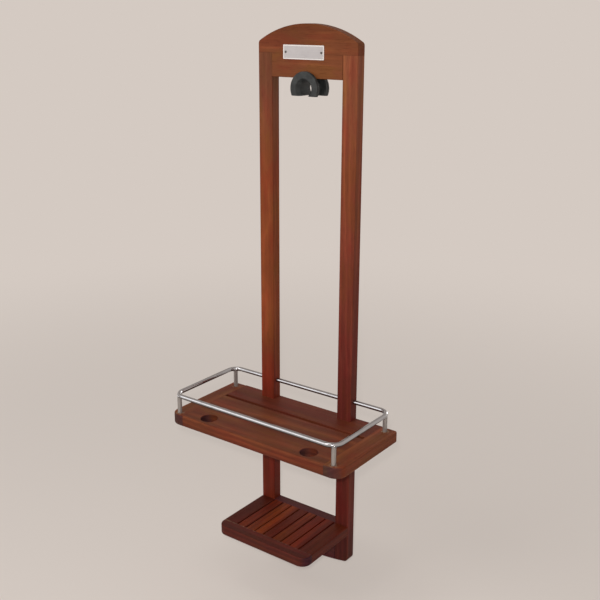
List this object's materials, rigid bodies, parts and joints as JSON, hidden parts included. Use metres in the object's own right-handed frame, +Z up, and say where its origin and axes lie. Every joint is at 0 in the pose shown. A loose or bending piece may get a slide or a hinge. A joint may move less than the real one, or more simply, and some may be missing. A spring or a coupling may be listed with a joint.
{
  "type": "shower caddy",
  "caption": "Tall arched wooden caddy that hangs on a shower arm by a rubber saddle, with a steel-railed shelf and a slatted soap shelf.",
  "frame": {"origin": "on the axis of the shower arm, at the mid-depth of the frame", "axes": "+X to the right as seen from the front, +Y along the arm towards the wall, +Z up"},
  "size_m": [0.325, 0.164, 0.8473],
  "materials": {
    "teak_head": "oiled satin, grain across",
    "teak_stile": "oiled satin, grain upright",
    "teak_shelf": "oiled satin, grain across",
    "teak_end": "oiled satin, grain front to back",
    "teak_soap_bar": "oiled satin, grain across",
    "teak_soap_side": "oiled satin, grain front to back",
    "teak_slat_light": "oiled satin, grain front to back",
    "teak_slat_dark": "oiled satin, grain front to back",
    "dowel_wood": "plain, unfinished",
    "rail_steel": "satin",
    "screw_steel": "plain",
    "plate_metal": "satin",
    "pin_metal": "satin",
    "rubber": "matt"
  },
  "bodies": {
    "saddle": {"arm_saddle": "rubber"},
    "caddy": {"bottom_board": "teak_stile", "bottom_dowels": "dowel_wood", "front_left_post": "rail_steel", "front_right_post": "rail_steel", "head_board": "teak_head", "head_dowels": "dowel_wood", "left_stile": "teak_stile", "name_plate": "plate_metal", "plate_pins": "pin_metal", "post_screws": "screw_steel", "rail_loop": "rail_steel", "rear_left_post": "rail_steel", "rear_right_post": "rail_steel", "right_stile": "teak_stile", "shelf_back_board": "teak_shelf", "shelf_dowels": "dowel_wood", "shelf_front_board": "teak_shelf", "shelf_left_end": "teak_end", "shelf_right_end": "teak_end", "shelf_screws": "screw_steel", "side_dowels": "dowel_wood", "slat_dowels": "dowel_wood", "soap_front_bar": "teak_soap_bar", "soap_left_side": "teak_soap_side", "soap_right_side": "teak_soap_side", "soap_screws": "screw_steel", "soap_slat_1": "teak_slat_dark", "soap_slat_2": "teak_slat_light", "soap_slat_3": "teak_slat_light", "soap_slat_4": "teak_slat_dark", "soap_slat_5": "teak_slat_light", "soap_slat_6": "teak_slat_dark", "soap_slat_7": "teak_slat_dark"}
  },
  "joints": [
    {"name": "caddy_swing", "type": "hinge", "parent": "saddle", "child": "caddy", "pos_m": [0, 0, 0], "axis": [0, 1, 0], "range_deg": [-30, 30]}
  ]
}
